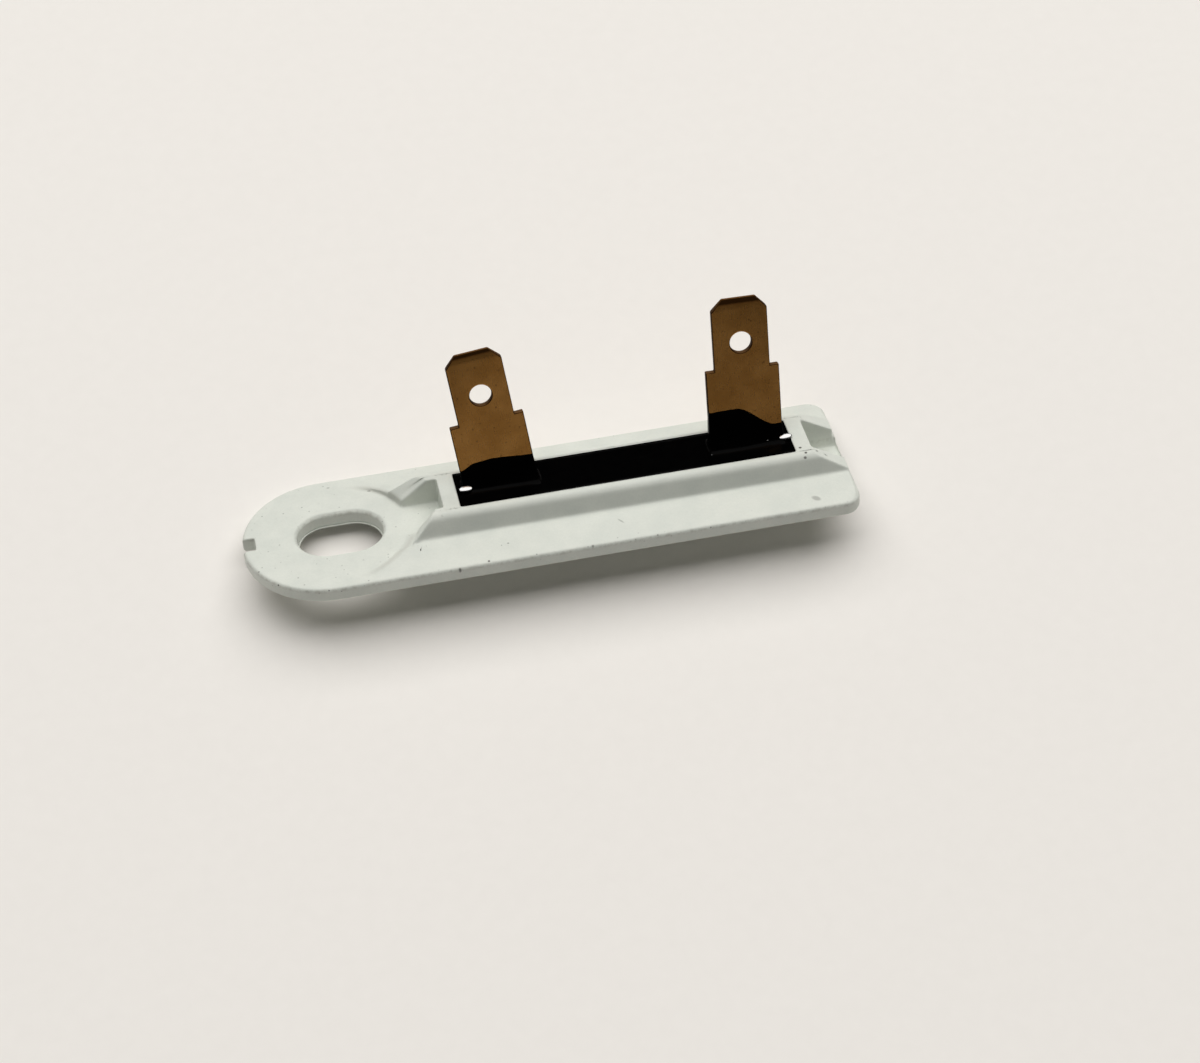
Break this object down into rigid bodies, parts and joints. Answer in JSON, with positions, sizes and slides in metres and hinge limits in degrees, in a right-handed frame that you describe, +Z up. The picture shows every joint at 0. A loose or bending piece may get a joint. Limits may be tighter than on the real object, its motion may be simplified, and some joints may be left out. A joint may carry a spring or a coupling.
{
  "type": "thermal fuse",
  "caption": "Flat thermal fuse: pale moulded flange with a slotted end and a raised well of black resin, holding a one-shot cut-off between upright brass blade terminals.",
  "frame": {"origin": "middle of the flange seen from above, on the lowest line of the round hump under it", "axes": "+X along the flange away from the slotted end, +Y to the back, +Z up towards the blades' tips"},
  "size_m": [0.069, 0.0192, 0.0247],
  "materials": {
    "body_plastic": "matt moulded, pale greenish white",
    "resin": "glossy cast black",
    "blade_brass": "tarnished, rolled",
    "can_brass": "drawn",
    "lead_wire": "tinned copper",
    "pellet": "pressed wax-like powder",
    "spring_steel": "drawn",
    "contact_silver": "silver plated",
    "bushing": "unglazed",
    "seal_resin": "cast"
  },
  "bodies": {
    "root": {"housing": "body_plastic", "potting": "resin", "terminal_left": "blade_brass", "terminal_right": "blade_brass", "cutoff_case": "can_brass", "case_lead": "lead_wire", "thermal_pellet": "pellet", "pellet_disc": "spring_steel", "barrel_spring": "spring_steel", "contact_disc": "spring_steel", "sliding_contact": "contact_silver", "trip_spring": "spring_steel", "ceramic_bushing": "bushing", "isolated_lead": "lead_wire", "end_seal": "seal_resin"}
  },
  "joints": []
}
